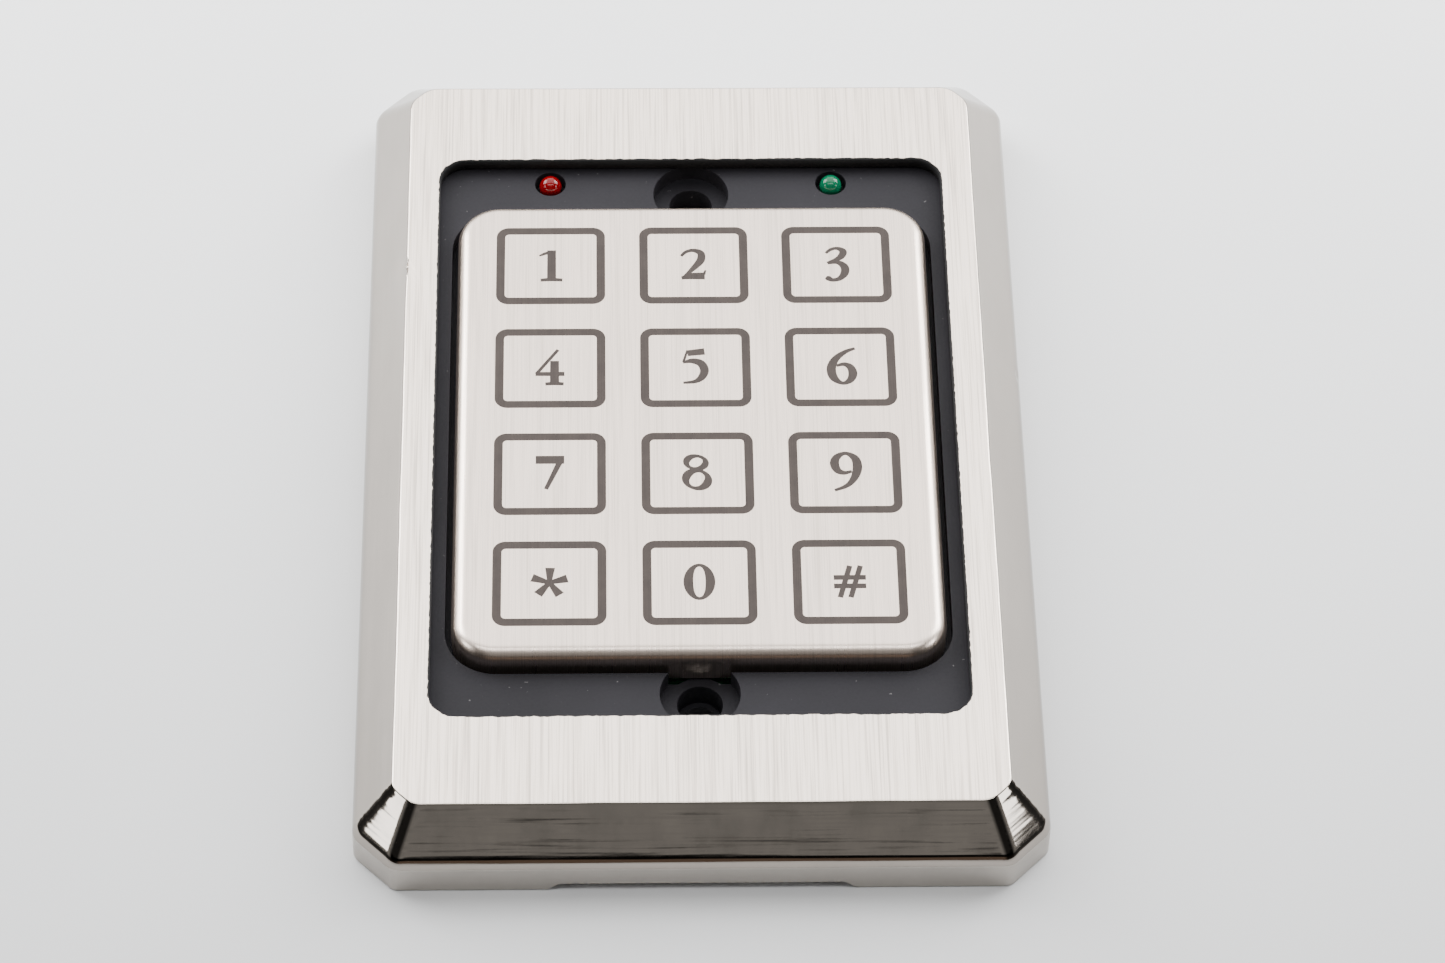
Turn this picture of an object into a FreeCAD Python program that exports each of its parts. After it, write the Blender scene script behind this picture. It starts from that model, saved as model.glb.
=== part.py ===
"""Keypad access reader: a cast metal surround with a twelve-key metal keypad.

Millimetres. The reader lies on its back: +Z points out of the front, +Y towards the top of
the keypad and +X to the right. The origin is the centre of the flat rear rim, at z = 0.
"""
import FreeCAD
import Part
import math
import os

V = FreeCAD.Vector

# ---- cast surround ----
RIM_W, RIM_L = 86.6, 129.6          # footprint of the rear rim
RIM_CHAMFER = 5.0                   # 45 degree corner of the rim, along each side
RIM_H = 5.4                         # height of the upright wall
FACE_W, FACE_L = 76.2, 118.8        # flat front face
FACE_CHAMFER = 2.2
FACE_Z = 11.2
FACE_THICK = 1.6
WALL_THICK = 3.0
POCKET_TOP_W, POCKET_TOP_L = 72.6, 115.2
POCKET_WALL_H = 4.6                 # upright part of the hollow behind
WINDOW_W, WINDOW_L, WINDOW_R = 67.7, 92.3, 3.5
NOTCH_HALF, NOTCH_H, NOTCH_RAMP = 17.5, 1.4, 2.0
BOSS_X, BOSS_Y, BOSS_R = 30.0, 53.2, 3.2
EDGE_SOFT = 0.9                     # softened edges round the bevels

# ---- black moulded housing behind the window ----
HOUSING_W, HOUSING_L, HOUSING_R = 71.0, 98.0, 4.0
FASCIA_Z = 9.2                      # visible black surface
FASCIA_THICK = 2.0
SKIRT_THICK = 1.5
SKIRT_Z = 2.4
OPENING_W, OPENING_L, OPENING_R = 64.3, 76.8, 6.5
EAR_Z0, EAR_Z1, EAR_W = 3.4, 5.0, 9.0

# ---- mounting holes, at the spacing of a single wall box ----
MOUNT_SPACING = 83.3
RECESS_R, RECESS_FLOOR_Z = 5.1, 6.7
HEAD_R, HEAD_SEAT_Z = 2.9, 3.2
HOLE_R = 2.2
TUBE_R = 4.2

# ---- keypad ----
CAP_W, CAP_L, CAP_R = 62.6, 75.3, 5.6
CAP_Y = -0.1
CAP_TOP_Z = 12.2
CAP_SHEET = 0.8
CAP_EDGE_R = 1.9
FLANGE_OUT, FLANGE_Z = 2.4, 6.0
KEY_PITCH_X, KEY_PITCH_Y = 19.05, 17.64
DISC_R, DISC_H = 6.0, 0.4
SENSOR_Z, SENSOR_THICK = 9.6, 1.0
SPACER_H = 0.8

# ---- electronics ----
BOARD_W, BOARD_L, BOARD_Z, BOARD_THICK = 67.0, 94.0, 2.8, 1.6
LED_X, LED_Y, LED_R, LED_TIP_Z = 19.05, 43.6, 1.5, 10.15
LED_HOLE_R = 2.1
BOARD_POST = (30.5, 45.2, 2.6)      # x, y, radius
COVER_POST = (10.5, 45.6, 2.6)
HEADER_Y, HEADER_W, HEADER_D = 24.0, 24.5, 6.4
HEADER_Z0, HEADER_Z1, SOCKET_Z1 = 0.9, 6.2, 5.0
PIN_SIDE, PIN_PITCH, PIN_COUNT = 0.64, 2.54, 8
TAMPER_X, TAMPER_Y, TAMPER_SIDE, TAMPER_Z1 = -22.0, -26.0, 7.0, 9.2
PLUNGER_R = 1.2
COLLAR_R, COLLAR_Z, COLLAR_H = 1.8, 6.6, 0.6
COVER_Z0, COVER_Z1 = 0.6, 1.8
BOARD_TOP = BOARD_Z + BOARD_THICK
FASCIA_BACK = FASCIA_Z - FASCIA_THICK
INTERBOARD_Y = -31.0
PIN_HOLE_R = 0.5

# ---- screws ----
HOUSING_SCREW_R, SMALL_SCREW_R = 1.25, 1.05
SCREW_CLEAR_R = 1.4                 # clearance for a small screw
SCREW_TIP_Z = 6.5

SIDES = (-1, 1)
CORNERS = [(sx, sy) for sx in SIDES for sy in SIDES]


def cyl(r, z0, z1, x=0.0, y=0.0):
    return Part.makeCylinder(r, z1 - z0, V(x, y, z0))


def cone(r0, r1, z0, z1, x=0.0, y=0.0):
    return Part.makeCone(r0, r1, z1 - z0, V(x, y, z0))


def box(lx, ly, z0, z1, x=0.0, y=0.0):
    return Part.makeBox(lx, ly, z1 - z0, V(x - lx / 2, y - ly / 2, z0))


def rounded(lx, ly, z0, z1, r, x=0.0, y=0.0):
    """Block with rounded upright edges."""
    block = box(lx, ly, z0, z1, x, y)
    upright = [e for e in block.Edges if abs(e.Vertexes[0].Z - e.Vertexes[-1].Z) > (z1 - z0) / 2]
    return block.makeFillet(r, upright)


def frame(lx, ly, r, inner_lx, inner_ly, inner_r, z0, z1, y=0.0):
    """Rectangular ring with rounded corners."""
    return rounded(lx, ly, z0, z1, r, y=y).cut(rounded(inner_lx, inner_ly, z0 - 1, z1 + 1, inner_r, y=y))


def octagon(lx, ly, c, z):
    """Rectangle with its four corners cut at 45 degrees."""
    a, b = lx / 2, ly / 2
    points = [(a, c - b), (a, b - c), (a - c, b), (c - a, b),
              (-a, b - c), (-a, c - b), (c - a, -b), (a - c, -b)]
    corners = [V(x, y, z) for x, y in points]
    return Part.makePolygon(corners + corners[:1])


def octagon_block(low, high):
    """Solid between two octagons, each given as (length x, length y, corner, z)."""
    return Part.makeLoft([octagon(*low), octagon(*high)], True, True)


def soften(shape, radius, wanted):
    """Fillet the edges that the test picks out."""
    return shape.makeFillet(radius, [e for e in shape.Edges if wanted(e)])


def union(shapes):
    return shapes[0].multiFuse(shapes[1:]).removeSplitter()


def mirrored_pairs(make):
    """The same detail at the top and the bottom mounting hole."""
    return [make(sy * MOUNT_SPACING / 2) for sy in SIDES]


def key_places():
    """Key centres, left to right and top to bottom."""
    return [((col - 1) * KEY_PITCH_X, (1.5 - row) * KEY_PITCH_Y) for row in range(4) for col in range(3)]


def pin_row(count):
    return [(i - (count - 1) / 2) * PIN_PITCH for i in range(count)]


# ---------------------------------------------------------------- surround

def bezel_casting():
    """One heavy casting: upright rim, four polished bevels, brushed face and a large window."""
    wall = octagon_block((RIM_W, RIM_L, RIM_CHAMFER, 0), (RIM_W, RIM_L, RIM_CHAMFER, RIM_H))
    bevel = octagon_block((RIM_W, RIM_L, RIM_CHAMFER, RIM_H), (FACE_W, FACE_L, FACE_CHAMFER, FACE_Z))
    body = wall.fuse(bevel).removeSplitter()

    def rises(edge):
        return abs(edge.Vertexes[0].Z - edge.Vertexes[-1].Z) > 1

    body = soften(body, EDGE_SOFT, rises)
    inner_w, inner_l = RIM_W - 2 * WALL_THICK, RIM_L - 2 * WALL_THICK
    pocket = octagon_block((inner_w, inner_l, 4.0, -1), (inner_w, inner_l, 4.0, POCKET_WALL_H))
    slope = octagon_block((inner_w, inner_l, 4.0, POCKET_WALL_H),
                          (POCKET_TOP_W, POCKET_TOP_L, 1.6, FACE_Z - FACE_THICK))
    body = body.cut(pocket.fuse(slope))
    body = body.cut(rounded(WINDOW_W, WINDOW_L, FACE_Z - FACE_THICK - 1, FACE_Z + 1, WINDOW_R))
    bosses = [cyl(BOSS_R, EAR_Z1, FACE_Z - FACE_THICK, sx * BOSS_X, sy * BOSS_Y) for sx, sy in CORNERS]
    body = body.multiFuse(bosses)
    body = body.cut(relief_notch())
    for sx, sy in CORNERS:
        body = body.cut(cyl(HOUSING_SCREW_R, EAR_Z1 - 1, FACE_Z - FACE_THICK - 0.4, sx * BOSS_X, sy * BOSS_Y))
    return body


def relief_notch():
    """Shallow gap under the lower rim, with ramped ends."""
    foot = NOTCH_HALF + NOTCH_RAMP
    points = [(-foot, 0), (-NOTCH_HALF, NOTCH_H), (NOTCH_HALF, NOTCH_H), (foot, 0), (foot, -1), (-foot, -1)]
    corners = [V(x, -RIM_L / 2 - 1, z) for x, z in points]
    face = Part.Face(Part.makePolygon(corners + corners[:1]))
    return face.extrude(V(0, WALL_THICK + 3, 0))


def window_gasket():
    """Thin rubber ring between the casting and the black housing."""
    return frame(HOUSING_W - 0.4, HOUSING_L - 0.4, 3.8, WINDOW_W + 1.0, WINDOW_L + 1.0, WINDOW_R + 0.5,
                 FASCIA_Z, FACE_Z - FACE_THICK)


def fascia_housing():
    """Black moulding: visible fascia, skirt round the electronics, screw tubes, posts and ears."""
    plate = rounded(HOUSING_W, HOUSING_L, FASCIA_BACK, FASCIA_Z, HOUSING_R)
    skirt = frame(HOUSING_W, HOUSING_L, HOUSING_R, HOUSING_W - 2 * SKIRT_THICK, HOUSING_L - 2 * SKIRT_THICK,
                  2.5, SKIRT_Z, FASCIA_BACK + 0.5)
    pads = mirrored_pairs(lambda y: cyl(RECESS_R + 1.2, RECESS_FLOOR_Z - 1.3, FASCIA_BACK, 0, y))
    body = union([plate, skirt] + pads)
    body = body.cut(rounded(OPENING_W, OPENING_L, 0, FASCIA_Z + 1, OPENING_R))
    tubes = mirrored_pairs(lambda y: cyl(TUBE_R, COVER_Z1, RECESS_FLOOR_Z, 0, y))
    posts = [cyl(BOARD_POST[2], BOARD_TOP, FASCIA_BACK, sx * BOARD_POST[0], sy * BOARD_POST[1])
             for sx, sy in CORNERS]
    posts += [cyl(COVER_POST[2], COVER_Z1, FASCIA_BACK, sx * COVER_POST[0], sy * COVER_POST[1])
              for sx, sy in CORNERS]
    ears = [rounded(EAR_W, 10.0, EAR_Z0, EAR_Z1, 2.0, sx * BOSS_X, sy * (BOSS_Y - 1.2)) for sx, sy in CORNERS]
    ears = [ear.cut(rounded(HOUSING_W - 2, HOUSING_L - 2, 0, FASCIA_Z, 3.0)) for ear in ears]
    body = union([body] + tubes + posts + ears)
    for sy in SIDES:
        y = sy * MOUNT_SPACING / 2
        body = body.cut(cyl(RECESS_R, RECESS_FLOOR_Z, FASCIA_Z + 1, 0, y))
        body = body.cut(cyl(HEAD_R, HEAD_SEAT_Z, FASCIA_Z, 0, y))
        body = body.cut(cyl(HOLE_R, 0, FASCIA_Z, 0, y))
    for sx in SIDES:
        body = body.cut(cyl(LED_HOLE_R, 0, FASCIA_Z + 1, sx * LED_X, LED_Y))
    for sx, sy in CORNERS:
        body = body.cut(cyl(1.7, 0, EAR_Z1 + 0.5, sx * BOSS_X, sy * BOSS_Y))
        body = body.cut(cyl(SMALL_SCREW_R, 0, SCREW_TIP_Z + 0.1, sx * BOARD_POST[0], sy * BOARD_POST[1]))
        body = body.cut(cyl(SMALL_SCREW_R, 0, SCREW_TIP_Z + 0.1, sx * COVER_POST[0], sy * COVER_POST[1]))
    return body


# ---------------------------------------------------------------- keypad

def end_clearance(z1):
    """Room for the two screw tubes at the ends of the keypad stack."""
    return mirrored_pairs(lambda y: cyl(RECESS_R + 1.6, 0, z1, 0, y))


def keypad_cap():
    """Drawn stainless cap: flat top, rounded edge, short skirt and a flange behind the fascia."""
    shell = rounded(CAP_W, CAP_L, FLANGE_Z, CAP_TOP_Z, CAP_R, y=CAP_Y)
    shell = soften(shell, CAP_EDGE_R, lambda e: e.BoundBox.ZMin > CAP_TOP_Z - 0.01)
    flange = rounded(CAP_W + 2 * FLANGE_OUT, CAP_L + 2 * FLANGE_OUT, FLANGE_Z, FLANGE_Z + 0.7,
                     CAP_R + 1.5, y=CAP_Y)
    hollow_z1 = CAP_TOP_Z - CAP_SHEET
    hollow = rounded(CAP_W - 2 * CAP_SHEET, CAP_L - 2 * CAP_SHEET, FLANGE_Z - 1, hollow_z1,
                     CAP_R - CAP_SHEET, y=CAP_Y)
    hollow = soften(hollow, CAP_EDGE_R - CAP_SHEET, lambda e: e.BoundBox.ZMin > hollow_z1 - 0.01)
    cap = shell.fuse(flange).cut(hollow)
    return cap.cut(Part.makeCompound(end_clearance(RECESS_FLOOR_Z + 0.2)))


def cap_seal():
    """Foam ring between the cap's flange and the back of the fascia."""
    ring = frame(CAP_W + 2 * FLANGE_OUT, CAP_L + 2 * FLANGE_OUT, CAP_R + 1.5, CAP_W + 0.6, CAP_L + 0.6,
                 CAP_R, FLANGE_Z + 0.7, FASCIA_BACK, CAP_Y)
    outside_opening = rounded(OPENING_W + 0.4, OPENING_L + 0.4, 0, FASCIA_Z, OPENING_R)
    for cutter in end_clearance(FASCIA_Z) + [outside_opening]:
        ring = ring.cut(cutter)
    return ring


def cap_retainer():
    """Moulded ring that the main board presses up against the flange."""
    ring = frame(CAP_W + 2 * FLANGE_OUT, CAP_L + 2 * FLANGE_OUT, CAP_R + 1.5, CAP_W - 0.4, CAP_L - 0.4,
                 CAP_R - 0.5, BOARD_TOP, FLANGE_Z, CAP_Y)
    for cutter in end_clearance(FASCIA_Z):
        ring = ring.cut(cutter)
    return ring


def piezo_discs():
    """Twelve discs bonded under the keys: a press bends the cap and the disc makes a pulse."""
    top = CAP_TOP_Z - CAP_SHEET
    return [cyl(DISC_R, top - DISC_H, top, x, y) for x, y in key_places()]


def disc_spacer():
    """Adhesive sheet round the discs."""
    top = CAP_TOP_Z - CAP_SHEET
    sheet = rounded(58.0, 71.0, top - SPACER_H, top, 4.0, y=CAP_Y)
    return sheet.cut(Part.makeCompound([cyl(DISC_R + 0.6, 0, top + 1, x, y) for x, y in key_places()]))


def contact_pads():
    """Sprung dots that join each disc to the sensor board."""
    base = SENSOR_Z + SENSOR_THICK
    return [cyl(1.5, base, CAP_TOP_Z - CAP_SHEET - DISC_H, x, y) for x, y in key_places()]


def sensor_board():
    board = rounded(59.6, 72.6, SENSOR_Z, SENSOR_Z + SENSOR_THICK, 4.6, y=CAP_Y)
    return board.cut(Part.makeCompound([cyl(PIN_HOLE_R, 0, 12, x, INTERBOARD_Y) for x in pin_row(PIN_COUNT)]))


def interboard_header():
    bar = box(PIN_PITCH * PIN_COUNT + 0.4, 2.5, BOARD_TOP, SENSOR_Z, 0, INTERBOARD_Y)
    return bar.cut(Part.makeCompound([cyl(PIN_HOLE_R, 0, 12, x, INTERBOARD_Y) for x in pin_row(PIN_COUNT)]))


def interboard_pins():
    top = SENSOR_Z + SENSOR_THICK
    return [box(PIN_SIDE, PIN_SIDE, BOARD_Z - 0.6, top - 0.1, x, INTERBOARD_Y) for x in pin_row(PIN_COUNT)]


# ---------------------------------------------------------------- main board and what it carries

def main_circuit_board():
    board = rounded(BOARD_W, BOARD_L, BOARD_Z, BOARD_TOP, 2.0)
    holes = mirrored_pairs(lambda y: cyl(TUBE_R + 0.5, 0, 9, 0, y))
    holes += [cyl(SCREW_CLEAR_R, 0, 9, sx * BOARD_POST[0], sy * BOARD_POST[1]) for sx, sy in CORNERS]
    holes += [cyl(COVER_POST[2] + 0.3, 0, 9, sx * COVER_POST[0], sy * COVER_POST[1]) for sx, sy in CORNERS]
    holes += [cyl(PIN_HOLE_R, 0, 9, x, INTERBOARD_Y) for x in pin_row(PIN_COUNT)]
    holes += [cyl(PLUNGER_R + 0.4, 0, 9, TAMPER_X, TAMPER_Y)]
    holes += [box(HEADER_W + 0.6, HEADER_D + 0.5, 0, 9, 0, HEADER_Y)]
    for hole in holes:
        board = board.cut(hole)
    return board


def chip(lx, ly, height, legs, x, y):
    """Moulded package standing on a row of flat legs along its two long sides."""
    parts = [box(lx, ly, BOARD_TOP + 0.15, BOARD_TOP + height, x, y)]
    for sy in SIDES:
        for i in range(legs):
            leg_x = x + (i - (legs - 1) / 2) * lx / legs
            parts.append(box(0.45, 1.2, BOARD_TOP, BOARD_TOP + height / 2, leg_x, y + sy * (ly / 2 + 0.5)))
    return union(parts)


def crystal():
    return rounded(11.0, 4.6, BOARD_TOP, BOARD_TOP + 3.5, 2.2, 8.0, 10.0)


def capacitors():
    return [cyl(3.1, BOARD_TOP, BOARD_TOP + 4.8, 22.0, y) for y in (12.0, 4.0)]


def voltage_regulator():
    body = box(6.6, 6.2, BOARD_TOP, BOARD_TOP + 2.3, 22.0, -20.0)
    tab = box(5.4, 2.0, BOARD_TOP, BOARD_TOP + 0.6, 22.0, -16.0)
    return body.fuse(tab)


def buzzer():
    can = cyl(6.0, BOARD_TOP, BOARD_TOP + 4.6, 18.0, -6.0)
    return can.cut(cyl(1.0, BOARD_TOP + 3.6, BOARD_TOP + 5, 18.0, -6.0))


def led(sx):
    """3 mm lamp with a domed tip and a foot flange."""
    x = sx * LED_X
    foot = BOARD_TOP + 0.3
    body = cyl(LED_R, foot, LED_TIP_Z - LED_R, x, LED_Y)
    dome = Part.makeSphere(LED_R, V(x, LED_Y, LED_TIP_Z - LED_R))
    return union([body, dome, cyl(1.9, foot, foot + 0.9, x, LED_Y)])


def led_sleeves():
    """Black tubes that hold each lamp upright and keep its light apart."""
    tubes = []
    for sx in SIDES:
        tube = cyl(2.7, BOARD_TOP, FASCIA_BACK, sx * LED_X, LED_Y)
        tube = tube.cut(cyl(LED_R + 0.1, BOARD_TOP - 1, FASCIA_BACK + 1, sx * LED_X, LED_Y))
        tubes.append(tube.cut(cyl(2.0, BOARD_TOP + 0.3, BOARD_TOP + 1.3, sx * LED_X, LED_Y)))
    return tubes


def wiring_header():
    """Socket for the wiring plug, let into the board and open to the back."""
    body = box(HEADER_W, HEADER_D, HEADER_Z0, HEADER_Z1, 0, HEADER_Y)
    body = body.fuse(box(HEADER_W + 4.5, 3.0, BOARD_TOP, BOARD_TOP + 1.2, 0, HEADER_Y))
    body = body.cut(box(HEADER_W - 2.0, HEADER_D - 2.0, 0, SOCKET_Z1, 0, HEADER_Y))
    slots = [box(PIN_SIDE + 0.1, PIN_SIDE + 0.1, 4, 7, x, HEADER_Y) for x in pin_row(PIN_COUNT)]
    return body.cut(Part.makeCompound(slots))


def header_pins():
    """Square pins that turn over the back of the header and down to the board."""
    pins = []
    top = HEADER_Z1 + 0.2
    reach = HEADER_D / 2 + 1.0
    for x in pin_row(PIN_COUNT):
        upright = box(PIN_SIDE, PIN_SIDE, 1.9, top + PIN_SIDE, x, HEADER_Y)
        across = box(PIN_SIDE, reach + PIN_SIDE, top, top + PIN_SIDE, x, HEADER_Y + reach / 2)
        down = box(PIN_SIDE, PIN_SIDE, BOARD_TOP, top + PIN_SIDE, x, HEADER_Y + reach)
        pins.append(union([upright, across, down]))
    return pins


# ---------------------------------------------------------------- tamper switch

def tamper_switch_body():
    body = rounded(TAMPER_SIDE, TAMPER_SIDE, BOARD_TOP, TAMPER_Z1, 0.6, TAMPER_X, TAMPER_Y)
    body = body.cut(cyl(COLLAR_R + 0.3, BOARD_TOP + 0.6, TAMPER_Z1 - 0.5, TAMPER_X, TAMPER_Y))
    return body.cut(cyl(PLUNGER_R + 0.15, 0, BOARD_TOP + 1, TAMPER_X, TAMPER_Y))


def tamper_plunger():
    """Pin that the wall holds in: its collar stops on the switch floor when it springs out."""
    stem = cyl(PLUNGER_R, 0.4, COLLAR_Z, TAMPER_X, TAMPER_Y)
    tip = cone(PLUNGER_R - 0.4, PLUNGER_R, 0, 0.4, TAMPER_X, TAMPER_Y)
    collar = cyl(COLLAR_R, COLLAR_Z, COLLAR_Z + COLLAR_H, TAMPER_X, TAMPER_Y)
    return union([tip, stem, collar])


def tamper_spring():
    """Small flat-wire coil between the collar and the roof of the switch, fully compressed."""
    half, coil_r, turns = 0.11, 1.35, 3.5
    z0 = COLLAR_Z + COLLAR_H + 0.15
    height = TAMPER_Z1 - 0.5 - 0.15 - z0
    helix = Part.makeHelix(height / turns, height, coil_r)
    inner, outer = coil_r - half, coil_r + half
    section = [V(inner, 0, -half), V(outer, 0, -half), V(outer, 0, half), V(inner, 0, half)]
    wire = Part.makePolygon(section + section[:1])
    coil = Part.Wire(helix.Edges).makePipeShell([wire], True, True)
    coil.translate(V(TAMPER_X, TAMPER_Y, z0))
    return coil


# ---------------------------------------------------------------- rear closure and fasteners

def cover_seal():
    ring = frame(HOUSING_W, HOUSING_L, HOUSING_R, HOUSING_W - 2 * SKIRT_THICK, HOUSING_L - 2 * SKIRT_THICK,
                 2.5, COVER_Z1, SKIRT_Z)
    posts = [cyl(COVER_POST[2] + 0.1, 0, 3, sx * COVER_POST[0], sy * COVER_POST[1]) for sx, sy in CORNERS]
    return ring.cut(Part.makeCompound(posts))


def rear_cover():
    cover = rounded(HOUSING_W, HOUSING_L, COVER_Z0, COVER_Z1, HOUSING_R)
    holes = mirrored_pairs(lambda y: cyl(HOLE_R, 0, 3, 0, y))
    holes += [cyl(PLUNGER_R + 0.2, 0, 3, TAMPER_X, TAMPER_Y),
              box(HEADER_W + 1, HEADER_D + 1, 0, 3, 0, HEADER_Y)]
    for sx, sy in CORNERS:
        holes.append(cyl(SCREW_CLEAR_R, 0, 3, sx * COVER_POST[0], sy * COVER_POST[1]))
        holes.append(cone(2.6, SCREW_CLEAR_R, COVER_Z0, COVER_Z0 + 1.0,
                          sx * COVER_POST[0], sy * COVER_POST[1]))
    for hole in holes:
        cover = cover.cut(hole)
    return cover


def wall_gasket():
    """Thin foam ring on the back that seals against the wall."""
    ring = frame(HOUSING_W, HOUSING_L, HOUSING_R, 60.0, 88.6, 3.0, 0.05, COVER_Z0)
    holes = [cyl(2.9, 0, 1, sx * COVER_POST[0], sy * COVER_POST[1]) for sx, sy in CORNERS]
    return ring.cut(Part.makeCompound(holes))


def cross_slot(depth, size, z0, x, y):
    """Cross recess in a screw head, from below."""
    return box(size, 0.6, z0 - 1, z0 + depth, x, y).fuse(box(0.6, size, z0 - 1, z0 + depth, x, y))


def pan_screw(x, y, head_r, head_h, seat_z, shank_r, tip_z):
    """Pan-head screw driven upwards from the back."""
    head = cyl(head_r, seat_z - head_h, seat_z, x, y)
    head = soften(head, head_h * 0.45, lambda e: e.BoundBox.ZMax < seat_z - head_h + 0.01)
    screw = head.fuse(cyl(shank_r, seat_z - 0.1, tip_z, x, y))
    return screw.cut(cross_slot(head_h * 0.6, head_r * 1.1, seat_z - head_h, x, y))


def housing_screws():
    return [pan_screw(sx * BOSS_X, sy * BOSS_Y, 2.8, 1.9, EAR_Z0, HOUSING_SCREW_R, 8.6) for sx, sy in CORNERS]


def board_screws():
    return [pan_screw(sx * BOARD_POST[0], sy * BOARD_POST[1], 2.2, 0.8, BOARD_Z, SMALL_SCREW_R, SCREW_TIP_Z)
            for sx, sy in CORNERS]


def cover_screws():
    screws = []
    for sx, sy in CORNERS:
        x, y = sx * COVER_POST[0], sy * COVER_POST[1]
        head = cone(2.5, SMALL_SCREW_R, COVER_Z0 + 0.05, COVER_Z0 + 1.15, x, y)
        screw = head.fuse(cyl(SMALL_SCREW_R, COVER_Z0 + 1.1, SCREW_TIP_Z, x, y))
        screws.append(screw.cut(cross_slot(0.7, 2.6, COVER_Z0, x, y)))
    return screws


def save(node, shape):
    if isinstance(shape, list):
        shape = Part.makeCompound(shape)
    assert shape.isValid(), node
    shape.exportStep("parts/" + node + ".step")
    print(node, len(shape.Solids), round(shape.Volume, 1))


NODES = {
    "bezel_casting": bezel_casting, "window_gasket": window_gasket, "fascia_housing": fascia_housing,
    "keypad_cap": keypad_cap, "cap_seal": cap_seal, "cap_retainer": cap_retainer,
    "piezo_discs": piezo_discs, "disc_spacer": disc_spacer, "contact_pads": contact_pads,
    "sensor_board": sensor_board, "interboard_header": interboard_header, "interboard_pins": interboard_pins,
    "main_circuit_board": main_circuit_board, "crystal": crystal, "capacitors": capacitors,
    "voltage_regulator": voltage_regulator, "buzzer": buzzer, "led_sleeves": led_sleeves,
    "wiring_header": wiring_header, "header_pins": header_pins,
    "tamper_switch_body": tamper_switch_body, "tamper_plunger": tamper_plunger,
    "tamper_spring": tamper_spring,
    "cover_seal": cover_seal, "rear_cover": rear_cover, "wall_gasket": wall_gasket,
    "housing_screws": housing_screws, "board_screws": board_screws, "cover_screws": cover_screws,
}

os.makedirs("parts", exist_ok=True)
for node_name, make_node in NODES.items():
    save(node_name, make_node())
save("microcontroller", chip(12.0, 8.0, 1.9, 14, -12.0, 8.0))
save("line_driver", chip(5.0, 4.0, 1.6, 4, -8.0, -10.0))
save("red_led", led(-1))
save("green_led", led(1))
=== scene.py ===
"""Looks of the keypad access reader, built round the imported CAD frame. Metres, +Z out of the face."""
import math

import bmesh
import bpy
from mathutils import Matrix, Vector, noise
from mathutils.geometry import delaunay_2d_cdt


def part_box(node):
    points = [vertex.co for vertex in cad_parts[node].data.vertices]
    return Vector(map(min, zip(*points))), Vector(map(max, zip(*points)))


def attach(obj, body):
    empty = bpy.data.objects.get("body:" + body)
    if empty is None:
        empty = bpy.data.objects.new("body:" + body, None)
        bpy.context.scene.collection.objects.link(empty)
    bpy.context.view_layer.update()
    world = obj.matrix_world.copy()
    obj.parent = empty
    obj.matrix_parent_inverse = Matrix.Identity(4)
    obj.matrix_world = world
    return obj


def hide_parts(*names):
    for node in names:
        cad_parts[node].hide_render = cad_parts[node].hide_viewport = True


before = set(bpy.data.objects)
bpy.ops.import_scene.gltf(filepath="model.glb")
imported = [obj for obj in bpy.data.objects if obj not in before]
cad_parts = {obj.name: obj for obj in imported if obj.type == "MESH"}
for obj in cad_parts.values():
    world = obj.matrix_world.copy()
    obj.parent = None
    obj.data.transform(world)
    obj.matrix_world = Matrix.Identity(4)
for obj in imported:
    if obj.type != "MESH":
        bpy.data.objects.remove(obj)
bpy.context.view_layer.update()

MM = 0.001
SIDES = (-1, 1)
CORNERS = [(sx, sy) for sx in SIDES for sy in SIDES]

# ---------------------------------------------------------------- sizes
# Sizes that carry MM, or are read from the frame, are in metres. All other lengths are in mm, and the
# function that makes the mesh multiplies them by MM.

casting_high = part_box("bezel_casting")[1]
cap_low, cap_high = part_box("keypad_cap")
disc_low, disc_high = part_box("piezo_discs")
gasket_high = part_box("window_gasket")[1]

RIM_X, RIM_Y = casting_high.x, casting_high.y
FACE_Z = casting_high.z
FACE_BACK_Z = gasket_high.z
CAP_TOP_Z = cap_high.z
FLANGE_OUT = 2.4 * MM               # hidden flange round the foot of the keypad
CAP_X, CAP_Y = cap_high.x - FLANGE_OUT, (cap_high.y - cap_low.y) / 2 - FLANGE_OUT
CAP_MID_Y = (cap_low.y + cap_high.y) / 2
CAP_R, CAP_BEND, SKIRT_BEND, SHEET_T = 5.6, 1.9, 0.2, 0.8
SKIRT_LOW = 7.0
CAP_TOP_RING = 5.0                  # inset of the keypad's innermost ring, on its flat top
DISC_R = 6.0 * MM
PITCH_X = (disc_high.x - disc_low.x - 2 * DISC_R) / 2
PITCH_Y = (disc_high.y - disc_low.y - 2 * DISC_R) / 3

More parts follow.
